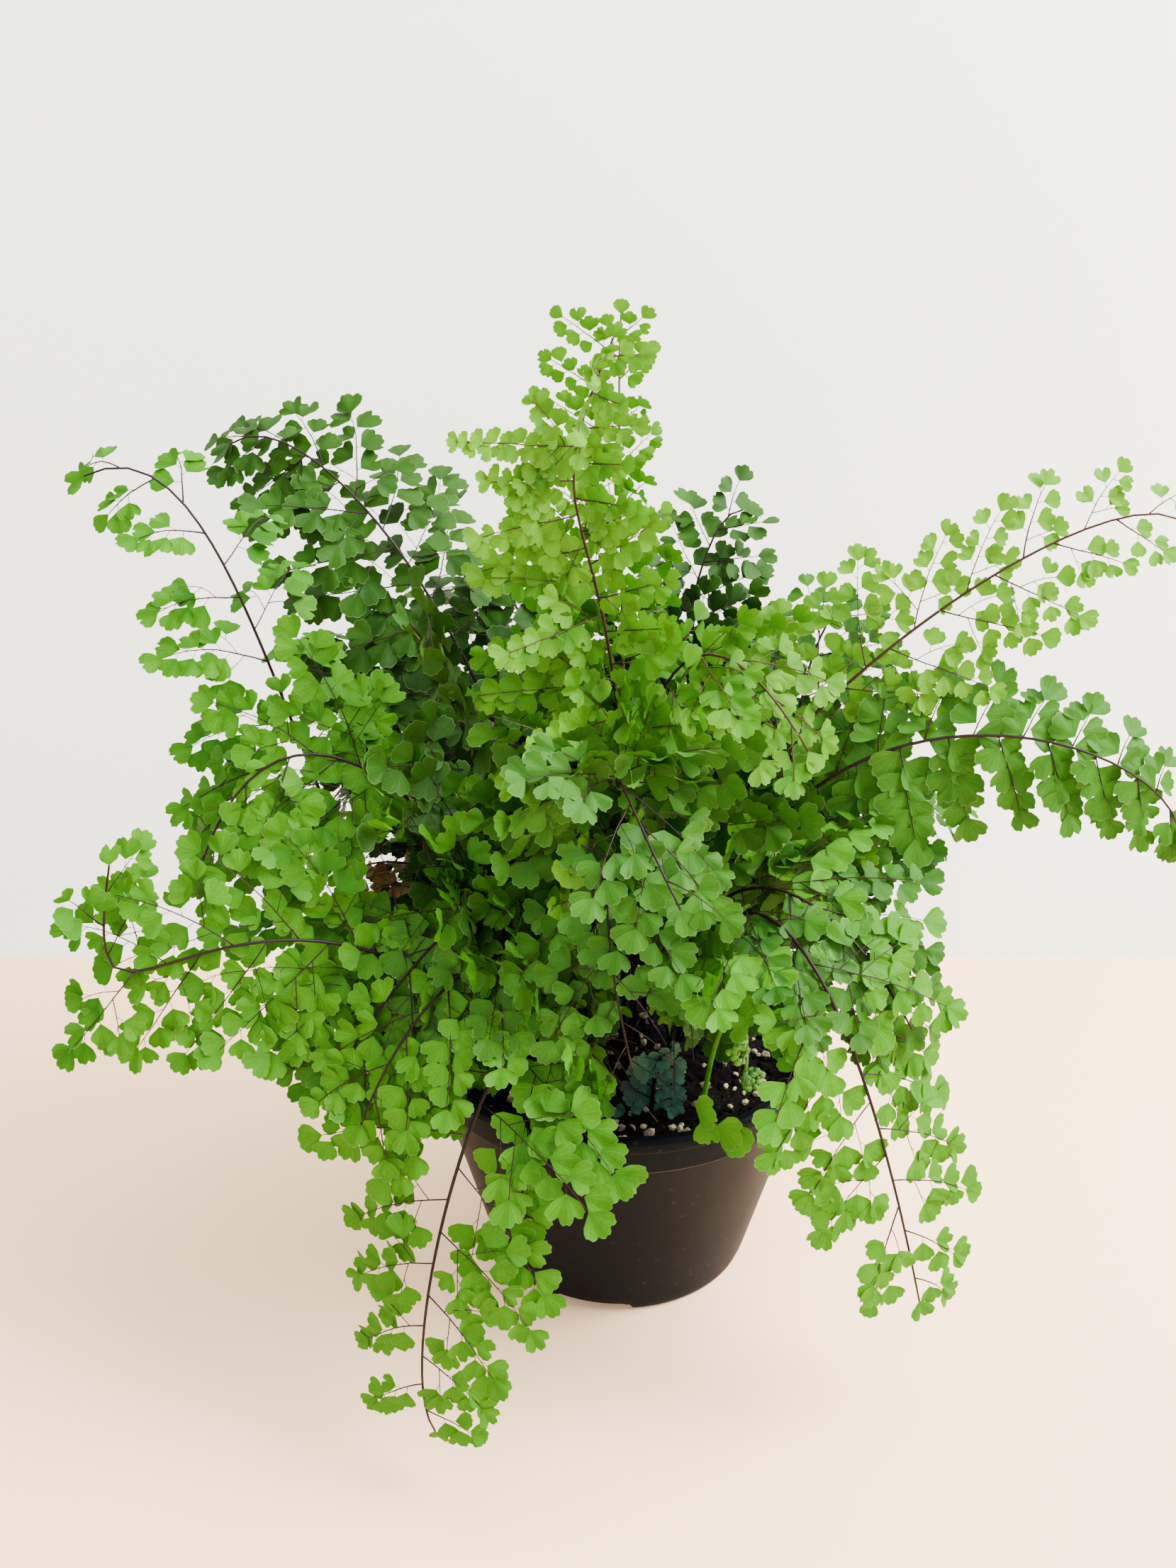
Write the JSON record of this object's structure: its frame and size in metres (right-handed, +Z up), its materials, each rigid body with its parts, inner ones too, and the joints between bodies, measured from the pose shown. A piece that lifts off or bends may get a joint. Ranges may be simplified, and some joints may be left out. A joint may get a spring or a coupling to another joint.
{
  "type": "potted maidenhair fern",
  "caption": "Maidenhair fern with thin dark stalks and fan-shaped leaflets arching out of a round black plastic nursery pot filled with soil.",
  "frame": {"origin": "centre of the pot's foot, on the surface that it stands on", "axes": "+X to the right seen from the front, +Y to the back, +Z up"},
  "size_m": [0.3944, 0.318, 0.3847],
  "materials": {
    "pot": "black moulded plastic, semi-matt, lightly dusty and scuffed",
    "soil": "dark moist peat crumbs",
    "perlite": "pale porous grains",
    "stem": "wiry, nearly black, slightly glossy",
    "leaf_light": "thin yellow-green leaf, matt, light shows through",
    "leaf_fresh": "thin fresh green leaf, matt, light shows through",
    "leaf_mid": "thin mid green leaf, matt, with fine forked veins",
    "leaf_dark": "thin dark green leaf, matt, with fine forked veins",
    "leaf_deep": "small blue-green leaf, matt",
    "leaf_withered": "dry brown curled leaf",
    "young_frond": "pale green, smooth, slightly downy"
  },
  "bodies": {
    "root": {"pot": "pot", "frond_young": "young_frond", "frond_crown_light": "leaf_light", "frond_crown_young": "leaf_light", "frond_upper_left": "leaf_dark", "frond_far_left": "leaf_fresh", "frond_left_middle": "leaf_fresh", "frond_left_low": "leaf_fresh", "frond_front_left": "leaf_fresh", "frond_front_hanging_left": "leaf_fresh", "frond_front_hanging_right": "leaf_fresh", "frond_lower_left": "leaf_mid", "frond_lower_right": "leaf_mid", "frond_right_middle": "leaf_mid", "frond_right_high": "leaf_light", "frond_right_back": "leaf_dark", "frond_right_inner": "leaf_mid", "frond_centre_right": "leaf_light", "frond_centre_front": "leaf_mid", "frond_centre_left": "leaf_dark", "frond_lower_centre": "leaf_mid", "frond_back_right_low": "leaf_mid", "frond_back_right": "leaf_mid", "frond_back_middle": "leaf_fresh", "frond_back_left": "leaf_mid", "frond_back_left_low": "leaf_dark", "frond_withered": "leaf_withered", "frond_plantlet": "leaf_deep", "soil": "soil"}
  },
  "joints": []
}
